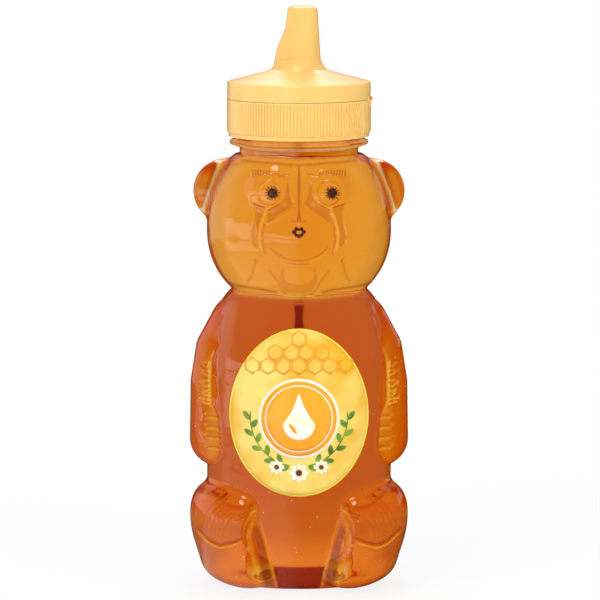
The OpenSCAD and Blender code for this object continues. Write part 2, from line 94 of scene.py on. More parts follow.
def turned(p, mid, a):
    """Points turned back by an angle about the upright line through mid."""
    dx, dy = p[0] - mid[0], p[1] - mid[1]
    return (mid[0] + dx * math.cos(a) - dy * math.sin(a), mid[1] + dx * math.sin(a) + dy * math.cos(a), p[2])


def lump(p, mid, radii, n=2, m=2):
    """Distance to a rounded lump; n and m square its plan and its side."""
    d = [p[i] - mid[i] for i in range(3)]
    far = np.sqrt(d[0] ** 2 + d[1] ** 2 + d[2] ** 2) + 1e-6
    plan = np.abs(d[0] / radii[0]) ** n + np.abs(d[1] / radii[1]) ** n
    s = (plan ** (m / n) + np.abs(d[2] / radii[2]) ** m) ** (1 / m) + 1e-9
    return far * (1 - 1 / s)


def limb(p, a, b, ra, rb, deep):
    """Distance to a limb that tapers from a to b and is deeper than wide."""
    squeeze = (1, 1 / deep, 1)
    u = [(p[i] - a[i]) * squeeze[i] for i in range(3)]
    v = [(b[i] - a[i]) * squeeze[i] for i in range(3)]
    h = np.clip(sum(u[i] * v[i] for i in range(3)) / sum(c * c for c in v), 0, 1)
    return np.sqrt(sum((u[i] - h * v[i]) ** 2 for i in range(3))) - (ra + (rb - ra) * h)


def bear_form(x, y, z):
    """Distance to the bear's skin in mm, negative inside."""
    p = (np.abs(x), y, z)
    torso_h = np.where(z > torso_mid[2], 47, 1.24 * torso_mid[2])
    tuck = np.where(y < torso_mid[1], belly_tuck * np.maximum(0, 1 - z / 30) ** 1.5, 0)
    torso = lump(p, torso_mid, (26.6, 25 - tuck, torso_h), 2.4, 4.2)
    head_r = (26.3 - 0.006 * np.maximum(z - 108, 0) ** 2, 23.6, np.where(z > head_mid[2], 32.5, 23.6))
    head = cut_by(lump(p, head_mid, head_r, 2.2, 2.15), z - shoulder_z, 3)
    ear = lump(p, ear_mid, (8.9, 5.2, 8.9))
    collar = np.maximum(np.hypot(x, y) - neck_r - 0.2, z - shoulder_z - 4)
    trunk = joined(joined(joined(torso, head, 1.5), ear, 1.2), collar, 2)
    arm = trunk
    bends = [((18.6, -1, 76.5), 7.4), ((22.0, -1.5, 68.5), 8.2), ((23.3, -2.4, 59), 8.4), ((arm_x, -5, paw_z), paw_r)]
    for (upper, upper_r), (lower, lower_r) in zip(bends, bends[1:]):
        arm = np.minimum(arm, limb(p, upper, lower, upper_r, lower_r, 1.3))
    thigh = lump(turned(p, thigh_mid, knee_in), thigh_mid, (11.7, 16.5, 11.4), 2.2, 2.4)
    knee = lump(p, knee_mid, (3.8, 7.5, 5))
    foot = lump(turned(p, foot_mid, toe_in), foot_mid, (9.8, 16.8, 10.3), 2.1, 2.2)
    leg = joined(joined(thigh, knee, 5), foot, 7)
    # The inner side of each leg is a flat that slopes from a ridge down its front back to the belly
    ridge_x = 15.9 - np.hypot(0.6, 0.27 * (p[2] - 18.5))
    belly_x = 6.2 + 0.22 * p[2]
    flat_x = ridge_x - (ridge_x - belly_x) * (p[1] + 25.2) / 3.6
    leg = cut_by(leg, 0.65 * (flat_x - p[0]), 1.0)
    skin = joined(joined(trunk, arm, 2), leg, 1.6)
    skin = joined(skin, lump(p, muzzle_mid, (11.2, 7.2, 8.2)), 2.5)
    skin = joined(skin, lump(p, chin_mid, (8.8, 5.6, 7.2)), 2.5)
    skin = joined(skin, lump(p, eye_mid, (5.2, 4.4, 5.2)), 3)
    return cut_by(skin, -z, foot_edge)


# Lines on the bear's front, as (points across and up from the middle line, width, height, tone); the
# left half mirrors the right. A height above 0 is a ridge that the mould leaves, below 0 a groove, at 0 none.
# A tone above 0 is painted shade along a crease, and one below 0 a painted pale highlight along an edge.
lines = [
    ([(0.1, 123.4), (0.1, 117.2), (0, 111.4), (0.4, 108.9)], 0.35, 0.5, 0.8),
    ([(1.8, 109.0), (0.4, 108.8)], 0.3, 0, 0.5),
    ([(1.4, 124.0), (0.5, 122.9)], 0.3, 0.3, -0.25),
    ([(5.6, 121.5), (4.4, 121.5), (3.0, 122.0)], 0.35, -0.2, 0.45),
    ([(7.4, 110.8), (5.2, 111.9), (3.4, 112.9)], 0.6, -0.3, 0.6),
    ([(4.4, 113.5), (3.8, 113.8)], 0.35, 0.2, -0.3),
    ([(8.9, 112.5), (10.2, 109.6), (11.0, 107.2), (11.3, 104.3), (11.0, 101.6), (10.2, 100.0)], 0.28, 0.35, -0.35),
    ([(9.9, 108.0), (10.3, 105.3), (10.4, 103.3), (10.1, 101.3), (9.7, 99.6)], 0.35, -0.3, 0.55),
    ([(9.2, 108.1), (6.0, 109.5), (3.0, 111.2), (1.0, 113.3)], 0.3, 0.2, 0),
    ([(8.2, 101.2), (7.0, 100.0), (5.2, 98.8), (3.0, 97.8), (1.0, 97.6), (0, 97.7)], 0.28, -0.35, 0.6),
    ([(3.0, 96.9), (1.4, 96.6), (0, 96.4)], 0.25, -0.2, 0.5),
    ([(7.4, 99.3), (5.0, 97.8), (3.2, 97.1)], 0.3, 0.15, -0.15),
    ([(8.4, 94.6), (7.0, 92.8), (5.6, 91.0), (4.7, 88.7), (3.7, 87.3)], 0.3, 0.3, 0.45),
    ([(12.4, 97.6), (12.3, 96.8)], 0.35, -0.2, 0.6),
    ([(12.8, 96.1), (13.3, 93.5), (13.9, 91.7), (14.7, 90.7)], 0.4, -0.3, 0.45),
    ([(20.5, 89.0), (15.6, 88.8), (13.1, 88.7), (10.1, 88.4), (6.7, 87.8)], 0.55, 0, 0.8),
    ([(17.3, 86.7), (13.2, 86.6), (8.1, 86.5), (0, 86.4)], 0.7, 0, -0.3),
    ([(16.3, 125.0), (7.0, 124.8), (0, 124.2)], 0.45, 0, 0.7),
    ([(19.4, 125.4), (21.2, 121.6), (23.0, 117.3), (24.6, 113.8), (25.8, 110.2)], 0.5, 0, 0.7),
    ([(1.0, 86.4), (0.4, 85.4), (0.6, 82.0)], 1.0, 0, 0.5),
    ([(24.0, 3.4), (16.5, 1.6), (10.0, 2.0)], 0.9, 0, 0.6),
    ([(21.9, 79.9), (22.6, 77.7), (22.7, 73.5), (24.9, 67.8), (25.6, 61.0), (25.6, 56.1), (23.5, 51.6), (22.8, 43.4)],
     0.35, -0.3, 0.35),
    ([(26.1, 66.6), (25.9, 61.0), (25.9, 56.5), (26.0, 54.7)], 0.3, 0.2, -0.5),
    ([(27.2, 31.0), (24.2, 29.2), (21.2, 27.1), (18.9, 26.3), (16.3, 26.5), (13.0, 27.2)], 0.6, 0, 0.6),
    ([(13.6, 24.6), (12.6, 25.3)], 0.3, 0.2, -0.5),
    ([(12.8, 24.1), (14.5, 21.8), (15.4, 19.5), (15.4, 17.7)], 0.3, -0.25, 0.8),
    ([(12.6, 23.9), (14.0, 21.0), (14.4, 17.8), (13.7, 13.4), (12.2, 7.4), (11.2, 3.0)], 0.5, 0.15, -0.2),
    ([(11.3, 22.4), (9.5, 15.7), (8.0, 8.9), (7.1, 4.9)], 0.3, 0, -0.2),
    ([(29.2, 17.8), (25.5, 15.7), (22.8, 15.0), (19.5, 16.1), (16.3, 17.5)], 0.35, -0.35, 0.9),
    ([(29.0, 16.8), (25.4, 14.7), (22.8, 14.0), (19.5, 15.1), (16.5, 16.4)], 0.4, 0.15, -0.3),
    ([(17.4, 24.4), (14.5, 25.4)], 0.25, -0.2, 0.7),
    ([(17.1, 23.4), (15.1, 24.2)], 0.25, -0.2, 0.7),
    ([(25.5, 25.0), (23.1, 26.2), (21.6, 25.9)], 0.2, 0.12, 0.3),
]
for i in range(10):
    brow_x = 5.9 + 0.78 * i
    brow_z = 122.3 - 0.03 * (brow_x - 9) ** 2
    lines.append(([(brow_x, brow_z - 0.3 - 0.05 * i), (brow_x + 0.2, brow_z + 0.3 + 0.05 * i)], 0.2, 0.2, 0.9))
eye_turns = np.linspace(0, 2 * np.pi, 25)
lines.append((list(zip(8.4 + 3.2 * np.cos(eye_turns), 116.8 + 3.2 * np.sin(eye_turns))), 0.22, 0.3, 0.3))
for i in range(9):
    tuft_z = 65.6 - 1.35 * i
    lines.append(([(26.2, tuft_z - 0.3), (27.2, tuft_z - 0.5 + 0.5 * math.sin(i)),
                   (28.4 + 0.5 * math.sin(2 * i), tuft_z + 0.5 * math.cos(3 * i))], 0.25, 0.25, -0.15 - 0.05 * i))
    lines.append(([(26.3, tuft_z - 0.9), (27.4, tuft_z - 1.1 + 0.4 * math.sin(i)), (28.8, tuft_z - 0.7)],
                  0.22, -0.2, 0.35))
for i in range(4):
    finger_z = 51.3 - 2.97 * i
    lines.append(([(23.3, finger_z - 0.15), (25.0, finger_z + 0.1), (26.6, finger_z + 0.1)], 0.3, -0.3, 0.5))
    lines.append(([(23.4, finger_z - 0.85), (25.0, finger_z - 0.6), (26.4, finger_z - 0.6)], 0.35, 0.2, -0.25))
for i in range(6):
    fur_turns = np.radians(np.linspace(2 * i - 4, 60, 9))
    fur_r = 6.8 + 1.25 * i
    lines.append((list(zip(15 + fur_r * np.cos(fur_turns), 18 + fur_r * np.sin(fur_turns))), 0.25, 0.06, 0.3))

# Patches with crisp edges, as (outline, width of the edge, height, tone): hollows where the height is below 0, and
# patches of painted shade alone where it is 0
hollows_and_shade_patches = [
    ([(2.9, 119.6), (3.6, 119.4), (3.8, 116.5), (4.4, 114.9), (5.6, 113.6), (7.6, 112.5), (9.0, 111.7), (9.3, 108.3),
      (7.4, 109.4), (5.6, 110.8), (3.0, 112.4), (1.4, 113.8), (2.2, 114.9), (2.6, 116.5)], 0.35, -0.45, 0.55),
    ([(13.3, 113.6), (9.6, 112.5), (10.4, 110.2), (11.3, 107.2), (11.8, 104.6), (11.5, 102.6), (12.0, 101.1),
      (13.2, 102.1), (13.6, 104.4), (13.0, 107.1), (12.6, 109.1), (12.7, 111.5)], 0.35, -0.45, 0.5),
    ([(4.2, 95.7), (5.2, 93.6), (5.4, 91.4), (4.5, 88.8), (3.5, 87.4), (-1, 87.4), (-1, 90.1), (2.6, 90.7),
      (4.2, 91.9), (4.4, 94.0)], 0.4, -0.2, 0.4),
    ([(7.6, 8.4), (-1, 8.2), (-1, -1), (5.8, -1)], 0.4, 0, 1.0),
    ([(12.2, 21.4), (11.1, 18.8), (9.9, 15.7), (8.4, 9.0), (7.4, 4.5), (6.8, 1.2), (9.6, 1.2), (10.3, 4.5),
      (11.2, 8.5), (12.2, 14.6), (13.1, 17.6), (13.2, 19.7)], 0.5, 0, 0.85),
    ([(21.4, 126.2), (23.6, 125.4), (25.8, 119.5), (27.6, 113.0), (27.8, 109.6), (26.0, 109.6), (24.6, 115.0),
      (22.8, 120.5)], 0.6, 0, 0.7),
    ([(-1, 84.4), (1.5, 84.4), (1.2, 81.5), (1.5, 77.5), (2.6, 75.2), (3.0, 73.6), (-1, 73.6)], 0.4, 0, 1.0),
]


def to_line(q, a, b):
    """Squared distance from points to the stretch from a to b."""
    t = np.clip((q - a) @ (b - a) / ((b - a) @ (b - a)), 0, 1)
    return ((q - a - t[:, None] * (b - a)) ** 2).sum(1)


def relief(x, z):
    """Height in mm, painted shade and painted highlight of the lines and patches at points across and up."""
    q = np.stack([np.abs(x), z], axis=-1)
    lift, painted_shade, painted_highlight = np.zeros(len(q)), np.zeros(len(q)), np.zeros(len(q))
    for form, closed in [(line, False) for line in lines] + [(hollow, True) for hollow in hollows_and_shade_patches]:
        points, width, height, tone = form
        points = np.array(points, dtype=float)
        low, high = points.min(0) - 3 * width, points.max(0) + 3 * width
        close = np.where(np.all((q > low) & (q < high), axis=1))[0]
        near = np.full(len(close), 1e6)
        inside = np.zeros(len(close), dtype=bool)
        for a, b in zip(points, np.roll(points, -1, axis=0) if closed else points[1:]):
            near = np.minimum(near, to_line(q[close], a, b))
            if closed and a[1] != b[1]:
                meets = (q[close, 1] > a[1]) != (q[close, 1] > b[1])
                inside ^= meets & (q[close, 0] < a[0] + (b[0] - a[0]) * (q[close, 1] - a[1]) / (b[1] - a[1]))
        share = np.exp(-near / width ** 2)
        if closed:
            edge = np.clip(0.5 + np.where(inside, 0.5, -0.5) * np.sqrt(near) / width, 0, 1)
            share = edge * edge * (3 - 2 * edge)
        lift[close] += height * share
        painted_shade[close] = np.maximum(painted_shade[close], tone * share)
        painted_highlight[close] = np.maximum(painted_highlight[close], -tone * share)
    return lift, painted_shade, painted_highlight


def outward(p):
    """Unit directions straight out of the bear's skin at points."""
    step = 0.1
    slope = np.stack([bear_form(*np.moveaxis(p + d, -1, 0)) - bear_form(*np.moveaxis(p - d, -1, 0))
                      for d in np.eye(3) * step], axis=-1)
    return slope / (np.linalg.norm(slope, axis=-1)[..., None] + 1e-9)


# Columns run from the front round to the back, closest together on the face and the belly
half_columns = 240
u = np.linspace(0, 1, half_columns + 1)
half_angles = np.pi * (0.35 * u + 0.65 * u ** 3)
turn = np.concatenate([half_angles, 2 * np.pi - half_angles[-2:0:-1]])
across = np.sin(turn)
forward = -np.cos(turn)


def skin_rings(z):
    """Rings of the bear's skin at the heights z, with the lines that the mould leaves on them, and their painted shade
    and highlight.
    """
    a = half_angles[None, :]
    height = np.broadcast_to(z[:, None], (len(z), len(half_angles)))
    near = np.full(height.shape, 8.0)
    far = np.full(height.shape, 40.0)
    for halving in range(15):
        mid = (near + far) / 2
        inside = bear_form(mid * np.sin(a), -mid * np.cos(a), height) < 0
        near = np.where(inside, mid, near)
        far = np.where(inside, far, mid)
    r = np.concatenate([mid, mid[:, -2:0:-1]], axis=1)
    rings = np.stack([r * across, r * forward, np.broadcast_to(z[:, None], r.shape)], axis=-1)
    out = outward(rings)
    lift, painted_shade, painted_highlight = (part.reshape(r.shape) for part in relief(rings[..., 0].ravel(), rings[..., 2].ravel()))
    front = np.clip(-rings[..., 1] / 3, 0, 1)
    lift *= np.clip((-2 - rings[..., 1]) / 5, 0, 1)
    rings = rings + out * lift[..., None]
    rings[..., 2] = np.maximum(rings[..., 2], z[0])
    return rings, out, painted_shade * front, painted_highlight * front


def sunk(rings, out, depth):
    """Every third ring of the skin, sunk straight into it by a depth."""
    rows = list(range(0, len(rings) - 1, 3)) + [len(rings) - 1]
    deep = rings[rows] - out[rows] * depth
    deep[..., 2] = np.clip(deep[..., 2], depth, shoulder_z - depth)
    return deep


def round_rings(profile):
    """Rings of a turned surface through the points (radius, height)."""
    return np.stack([np.stack([r * across, r * forward, np.full(len(turn), z)], axis=-1) for r, z in profile])


def even(points, step):
    """The points of an outline with more between them, no further apart than step."""
    out = [points[0]]
    for (r0, z0), (r1, z1) in zip(points, points[1:]):
        count = max(1, math.ceil(math.hypot(r1 - r0, z1 - z0) / step))
        out += [(r0 + (r1 - r0) * i / count, z0 + (z1 - z0) * i / count) for i in range(1, count + 1)]
    return out


def add_piece(name, verts, faces, material, body, smooth=True):
    """A mesh piece, given in mm, that moves with a body."""
    mesh = bpy.data.meshes.new(name)
    mesh.from_pydata((np.asarray(verts) * MM).tolist(), [], faces)
    mesh.polygons.foreach_set("use_smooth", [smooth] * len(faces))
    mesh.materials.append(material)
    piece = bpy.data.objects.new(name, mesh)
    bpy.context.collection.objects.link(piece)
    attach(piece, body)
    return piece


def lofted(rings, start=None, end=None):
    """Vertices and faces of a skin through rings, with a point at each end."""
    rows, count = rings.shape[:2]
    verts = rings.reshape(-1, 3)
    k, i = np.meshgrid(np.arange(rows - 1), np.arange(count), indexing="ij")
    a = k * count + i
    b = k * count + (i + 1) % count
    faces = np.stack([a, b, b + count, a + count], axis=-1).reshape(-1, 4).tolist()
    for point, row, flip in ((start, 0, True), (end, rows - 1, False)):
        if point is None:
            continue
        verts = np.vstack([verts, [point]])
        tip = len(verts) - 1
        for j in range(count):
            ends = (row * count + j, row * count + (j + 1) % count)
            faces.append((ends[1], ends[0], tip) if flip else (ends[0], ends[1], tip))
    return verts, faces


def heights(low, high, step):
    """Heights of the skin's rings, close together where it turns in at the floor."""
    foot = low + np.array([0.02, 0.12, 0.3, 0.55, 0.85])
    return np.concatenate([foot, np.arange(low + 1.2, high - 0.1, step), [high - 0.02]])


def pushed_up(ring, low):
    """Rings of the dome that is pushed up under the bottle, from its middle out to the foot."""
    shares = np.concatenate([np.linspace(0.06, 0.8, 14), [0.88, 0.95]])
    dome = [(s, low + push_up * max(0, 1 - (s / 0.8) ** 2) ** 1.2) for s in shares]
    return np.stack([np.concatenate([ring[:, :2] * s, np.full((len(ring), 1), z)], axis=1) for s, z in dome])


def wound(rings, z0, root_r, crest_r, turns, start, half_root=1.1, half_crest=0.5):
    """Rings with a helical thread raised on them, or sunk inwards where crest_r is smaller."""
    angle = np.arctan2(rings[..., 1], rings[..., 0]) % (2 * np.pi)
    height = rings[..., 2]
    lift = np.zeros(height.shape)
    for lap in range(3):
        along = (angle + 2 * np.pi * lap - start) / (2 * np.pi)
        off = np.abs(height - (z0 + thread_pitch * along))
        flank = np.clip((half_root - off) / (half_root - half_crest), 0, 1)
        ends = np.clip(np.minimum(along, turns - along) * 12, 0, 1)
        lift = np.maximum(lift, flank * ends)
    r = np.hypot(rings[..., 0], rings[..., 1])
    scale = 1 + lift * (crest_r - root_r) / r
    return np.stack([rings[..., 0] * scale, rings[..., 1] * scale, height], axis=-1)


def linear(hex_colour):
    """An sRGB hex colour as linear RGBA."""
    parts = [int(hex_colour[i:i + 2], 16) / 255 for i in (1, 3, 5)]
    return [c / 12.92 if c <= 0.04045 else ((c + 0.055) / 1.055) ** 2.4 for c in parts] + [1]


def add_node(tree, kind, links=(), **settings):
    """A shader node with its settings; links are (input, node, output) triples."""
    node = tree.nodes.new(kind)
    for key, value in settings.items():
        if hasattr(node, key):
            setattr(node, key, value)
        else:
            node.inputs[key.replace("_", " ")].default_value = value
    for name, source, output in links:
        tree.links.new(source.outputs[output], node.inputs[name])
    return node


def new_material(name):
    """The node tree of a new, empty material, and the material."""
    material = bpy.data.materials.new(name)
    material.use_nodes = True
    material.node_tree.nodes.clear()
    return material.node_tree, material


# Blown PET: water-clear and glossy, with the faint waves that the mould leaves. Its creases carry painted
# shade in dark amber, and its sharp edges a painted pale yellow highlight.
tree, pet = new_material("blown_clear_pet")
place = add_node(tree, "ShaderNodeTexCoord")
waves = add_node(tree, "ShaderNodeTexNoise", [("Vector", place, "Object")], Scale=110.0, Detail=1.5)
bump = add_node(tree, "ShaderNodeBump", [("Height", waves, "Fac")], Strength=0.5, Distance=0.001)
painted_crease_shade = add_node(tree, "ShaderNodeAttribute", attribute_name="painted_crease_shade")
# Painted shade: the crease tone tints the clear PET from white to dark amber-mauve
painted_shade_tint = add_node(tree, "ShaderNodeValToRGB", [("Fac", painted_crease_shade, "Fac")])
painted_shade_tint.color_ramp.elements[0].color = linear("#ffffff")
painted_shade_tint.color_ramp.elements[1].color = linear("#6a2060")
painted_shade_tint.color_ramp.elements.new(0.6).color = linear("#d8b4ad")
clear = add_node(tree, "ShaderNodeBsdfPrincipled", [("Normal", bump, "Normal"), ("Base Color", painted_shade_tint, "Color")],
                 Roughness=0.01, IOR=1.5, Transmission_Weight=1.0)
# Painted highlight: the edge tone mixes in a pale yellow matt surface
painted_edge_highlight = add_node(tree, "ShaderNodeAttribute", attribute_name="painted_edge_highlight")
painted_highlight_diffuse = add_node(tree, "ShaderNodeBsdfDiffuse", [("Normal", bump, "Normal")], Color=linear("#f8be3a"))
shader = add_node(tree, "ShaderNodeMixShader", [(0, painted_edge_highlight, "Fac"), (1, clear, 0), (2, painted_highlight_diffuse, 0)])
# Light that is still trapped after many turns gets the room's mean brightness, so no spot goes black
rays = add_node(tree, "ShaderNodeLightPath")
trapped = add_node(tree, "ShaderNodeMath", [(0, rays, "Ray Depth")], operation="GREATER_THAN")
trapped.inputs[1].default_value = 5.5
room = add_node(tree, "ShaderNodeEmission", Color=linear("#fff0e0"), Strength=0.85)
mixed = add_node(tree, "ShaderNodeMixShader", [(0, trapped, 0), (1, shader, 0), (2, room, 0)])
add_node(tree, "ShaderNodeOutputMaterial", [("Surface", mixed, 0)])

# The pushed-up bottom is stippled by the mould, so that it looks frosted. Its pinkish tint and the red-brown
# translucent share mixed into it are painted shade, for the dark band low on the bear.
tree, stippled_pet = new_material("stippled_pet_bottom")
place = add_node(tree, "ShaderNodeTexCoord")
stipple = add_node(tree, "ShaderNodeTexVoronoi", [("Vector", place, "Object")], Scale=1500.0)
bump = add_node(tree, "ShaderNodeBump", [("Height", stipple, "Distance")], Strength=0.6, Distance=0.0002)
shader = add_node(tree, "ShaderNodeBsdfPrincipled", [("Normal", bump, "Normal")], Base_Color=linear("#f2d0c0"),
                  Roughness=0.5, IOR=1.5, Transmission_Weight=1.0)
frosted_painted_shade = add_node(tree, "ShaderNodeBsdfTranslucent", [("Normal", bump, "Normal")], Color=linear("#e0a08a"))
mixed = add_node(tree, "ShaderNodeMixShader", [(1, shader, 0), (2, frosted_painted_shade, 0)])
mixed.inputs[0].default_value = 0.8
add_node(tree, "ShaderNodeOutputMaterial", [("Surface", mixed, 0)])

# Where honey lies against the wall nothing is mirrored or bent: the two carry light alike
tree, wet_pet = new_material("clear_pet_wetted_by_honey")
shader = add_node(tree, "ShaderNodeBsdfTransparent", Color=(1, 1, 1, 1))
add_node(tree, "ShaderNodeOutputMaterial", [("Surface", shader, 0)])

skin_box = np.array(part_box("bear_bottle")) / MM
honey_top_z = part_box("honey")[1][2] / MM
fine_step = 0.27
outer, out, painted_shade, painted_highlight = skin_rings(heights(0, shoulder_z, fine_step))
inner = sunk(outer, out, wall)
neck_profile = [(neck_r + 0.15, shoulder_z + 0.15), (neck_r, shoulder_z + 0.5), (neck_r, bead_z - 1.5),
                (bead_r - 0.2, bead_z - 0.5), (bead_r, bead_z), (bead_r - 0.2, bead_z + 0.5),
                (neck_r + 0.6, bead_z + 1), (neck_r, bead_z + 1.4), (neck_r, rim_z - 0.3),
                (neck_r - 0.3, rim_z), (bore_r + 0.3, rim_z), (bore_r, rim_z - 0.3)]
neck_rings = wound(round_rings(even(neck_profile, 0.25)), rim_z - thread_drop - thread_pitch * thread_turns,
                   neck_r, thread_r, thread_turns, 0)
dry_bore = round_rings(even([(bore_r, rim_z - 0.5), (bore_r, honey_top_z)], 0.5))
wet_bore = round_rings(even([(bore_r, honey_top_z - 0.3), (bore_r, shoulder_z - wall)], 0.5))
dry_rings = np.concatenate([pushed_up(outer[0], 0), outer, neck_rings, dry_bore])
wet_rings = np.concatenate([wet_bore, inner[::-1], pushed_up(inner[0], wall)[::-1]])
verts, faces = lofted(np.concatenate([dry_rings, wet_rings]), (0, 0, push_up), (0, 0, push_up + wall))
bottle_skin = add_piece("bottle_skin", np.clip(verts, *skin_box), faces, pet, "bottle")
bottle_skin.data.materials.append(wet_pet)
bottle_skin.data.materials.append(stippled_pet)
finish = np.ones(len(faces), dtype=np.int32)
finish[:len(dry_rings) * len(turn)] = 0
finish[:len(pushed_up(outer[0], 0)) * len(turn)] = 2
finish[-2 * len(turn):-len(turn)] = 2
bottle_skin.data.polygons.foreach_set("material_index", finish)
dome_rows = len(pushed_up(outer[0], 0))
neck_z = neck_rings[..., 2]
# Painted shade on the neck: a dark column down its front, and dark lines at its foot and on each side of the bead
neck_painted_shade = np.where(neck_rings[..., 1] < 0, 0.6 * np.exp(-(neck_rings[..., 0] / 2.2) ** 2), 0)
for line_z in (shoulder_z + 0.5, bead_z - 1.7, bead_z + 1.4):
    neck_painted_shade = np.maximum(neck_painted_shade, 0.7 * np.exp(-((neck_z - line_z) / 0.35) ** 2))
for name, tone in (("painted_crease_shade", np.concatenate([painted_shade, neck_painted_shade])), ("painted_edge_highlight", painted_highlight)):
    tones = np.zeros(len(verts), dtype=np.float32)
    tones[dome_rows * len(turn):dome_rows * len(turn) + tone.size] = tone.ravel()
    bottle_skin.data.attributes.new(name, "FLOAT", "POINT").data.foreach_set("value", tones)
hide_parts("bear_bottle")


# HONEY
# Clear amber honey fills the bear up into its neck. It takes its deep colour from its depth:
# thin places glow yellow, thick ones orange, and the edges turn dark red.
honey_lap = 0.06
tree, honey = new_material("clear_amber_honey")
shader = add_node(tree, "ShaderNodeBsdfPrincipled", Base_Color=linear("#ffffff"), Roughness=0.0, IOR=1.0,
                  Transmission_Weight=1.0)
depth = add_node(tree, "ShaderNodeVolumeAbsorption", Color=(0.950, 0.700, 0.06, 1), Density=92.0)
add_node(tree, "ShaderNodeOutputMaterial", [("Surface", shader, "BSDF"), ("Volume", depth, "Volume")])
honey_inset = wall - honey_lap
honey_skin = sunk(outer, out, honey_inset)
honey_r = bore_r + honey_lap
honey_neck = round_rings(even([(honey_r, shoulder_z - honey_inset), (honey_r, honey_top_z),
                               (bore_r - 1.2, honey_top_z - 0.5), (1, honey_top_z - 0.6)], 0.9))
honey_rings = np.concatenate([pushed_up(honey_skin[0], honey_inset), honey_skin, honey_neck])
verts, faces = lofted(honey_rings[:, ::2],
                      (0, 0, push_up + honey_inset), (0, 0, honey_top_z - 0.6))
honey_fill = add_piece("honey_fill", verts, faces, honey, "bottle")
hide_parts("honey")

# Tiny air bubbles hang in the honey, most of them low in the bear, each with a faint pale glow as a painted glint.
air_count = 150
draws = np.random.default_rng(12)
tree, air_with_painted_glint = new_material("air_in_honey_with_painted_glint")
shader = add_node(tree, "ShaderNodeBsdfPrincipled", Base_Color=linear("#fff3dc"), Roughness=0.2,
                  Emission_Color=linear("#ffe2b0"), Emission_Strength=0.6)
add_node(tree, "ShaderNodeOutputMaterial", [("Surface", shader, "BSDF")])
ball_turns = np.linspace(0, 2 * np.pi, 9)[:-1]
ball_rows = [np.stack([np.cos(t) * np.cos(ball_turns), np.cos(t) * np.sin(ball_turns), np.full(8, np.sin(t))], axis=-1)
             for t in (-1.1, -0.5, 0, 0.5, 1.1)]
verts, faces = [], []
for i in range(air_count):
    air_z = 3 + 34 * draws.random() ** 1.6 if draws.random() < 0.8 else 40 + 70 * draws.random()
    air_turn = np.pi * (2 * draws.random() - 1)
    air_r = 0.08 + 0.1 * draws.random() ** 2
    near, far = 8.0, 40.0
    for halving in range(14):
        mid = (near + far) / 2
        if bear_form(mid * math.sin(air_turn), -mid * math.cos(air_turn), np.array(air_z)) < -wall - 0.8:
            near = mid
        else:
            far = mid
    near *= 1 - 0.25 * draws.random() ** 3
    spot = np.array([near * math.sin(air_turn), -near * math.cos(air_turn), air_z])
    ball, ball_faces = lofted(np.stack(ball_rows), (0, 0, -1), (0, 0, 1))
    faces += [tuple(v + len(verts) for v in face) for face in ball_faces]
    verts += (spot + air_r * ball).tolist()
add_piece("honey_bubbles", verts, faces, air_with_painted_glint, "bottle")


# SEAL AND LINER
# A foil is heat-sealed over the rim, and a ring of white foam lies under the cap's deck.
# Both are carried over from the frame, with the finish of the real stuff.
tree, foil = new_material("lacquered_aluminium_foil")
place = add_node(tree, "ShaderNodeTexCoord")
wrinkle = add_node(tree, "ShaderNodeTexNoise", [("Vector", place, "Object")], Scale=700.0, Detail=4.0)
bump = add_node(tree, "ShaderNodeBump", [("Height", wrinkle, "Fac")], Strength=0.3, Distance=0.0002)
shader = add_node(tree, "ShaderNodeBsdfPrincipled", [("Normal", bump, "Normal")], Base_Color=linear("#dcdee0"),
                  Metallic=1.0, Roughness=0.25)
add_node(tree, "ShaderNodeOutputMaterial", [("Surface", shader, "BSDF")])
tree, foam = new_material("closed_cell_polyethylene_foam")
place = add_node(tree, "ShaderNodeTexCoord")
cells = add_node(tree, "ShaderNodeTexVoronoi", [("Vector", place, "Object")], Scale=2500.0)
bump = add_node(tree, "ShaderNodeBump", [("Height", cells, "Distance")], Strength=0.5, Distance=0.0002)
shader = add_node(tree, "ShaderNodeBsdfPrincipled", [("Normal", bump, "Normal")], Base_Color=linear("#f6f3ea"),
                  Roughness=0.75)
add_node(tree, "ShaderNodeOutputMaterial", [("Surface", shader, "BSDF")])
for node, material in (("foil_seal", foil), ("cap_liner", foam)):
    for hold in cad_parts[node].material_slots:
        hold.material = material


# CAP, LID AND HINGE
# Pale yellow polypropylene, injection moulded; light sinks in a little and softens the edges.
tree, polypropylene = new_material("moulded_yellow_polypropylene")
place = add_node(tree, "ShaderNodeTexCoord")
grain = add_node(tree, "ShaderNodeTexNoise", [("Vector", place, "Object")], Scale=900.0, Detail=3.0)
bump = add_node(tree, "ShaderNodeBump", [("Height", grain, "Fac")], Strength=0.06, Distance=0.0001)
shader = add_node(tree, "ShaderNodeBsdfPrincipled", [("Normal", bump, "Normal")], Base_Color=linear("#fdcc74"),
                  Roughness=0.38, IOR=1.49, Coat_Weight=0.8, Coat_Roughness=0.28, Subsurface_Weight=0.3, Subsurface_Scale=0.002,
                  Subsurface_Radius=(1.0, 0.6, 0.25))
add_node(tree, "ShaderNodeOutputMaterial", [("Surface", shader, "BSDF")])
for node in ("cap_base", "flip_lid", "hinge_film", "hinge_strap_front", "hinge_strap_rear"):
    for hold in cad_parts[node].material_slots:
        hold.material = polypropylene


# FRONT LABEL
# An egg-shaped film label on the belly: a bright yellow edge, a cloudy cream and gold ground, and
# a plain print of a honey drop, comb cells and sprigs. It is printed flat, then pressed on.
label_z = 53.8
label_half = (20.0, 24.2)
label_gap = 0.16
label_t = 0.15


def on_front(x, z, gap):
    """Depth of the bear's front at points across and up, standing proud of it by gap."""
    near = np.full(x.shape, 8.0)
    far = np.full(x.shape, 40.0)
    for halving in range(20):
        mid = (near + far) / 2
        inside = bear_form(x, -mid, z) < gap
        near = np.where(inside, mid, near)
        far = np.where(inside, far, mid)
    return -(near + far) / 2


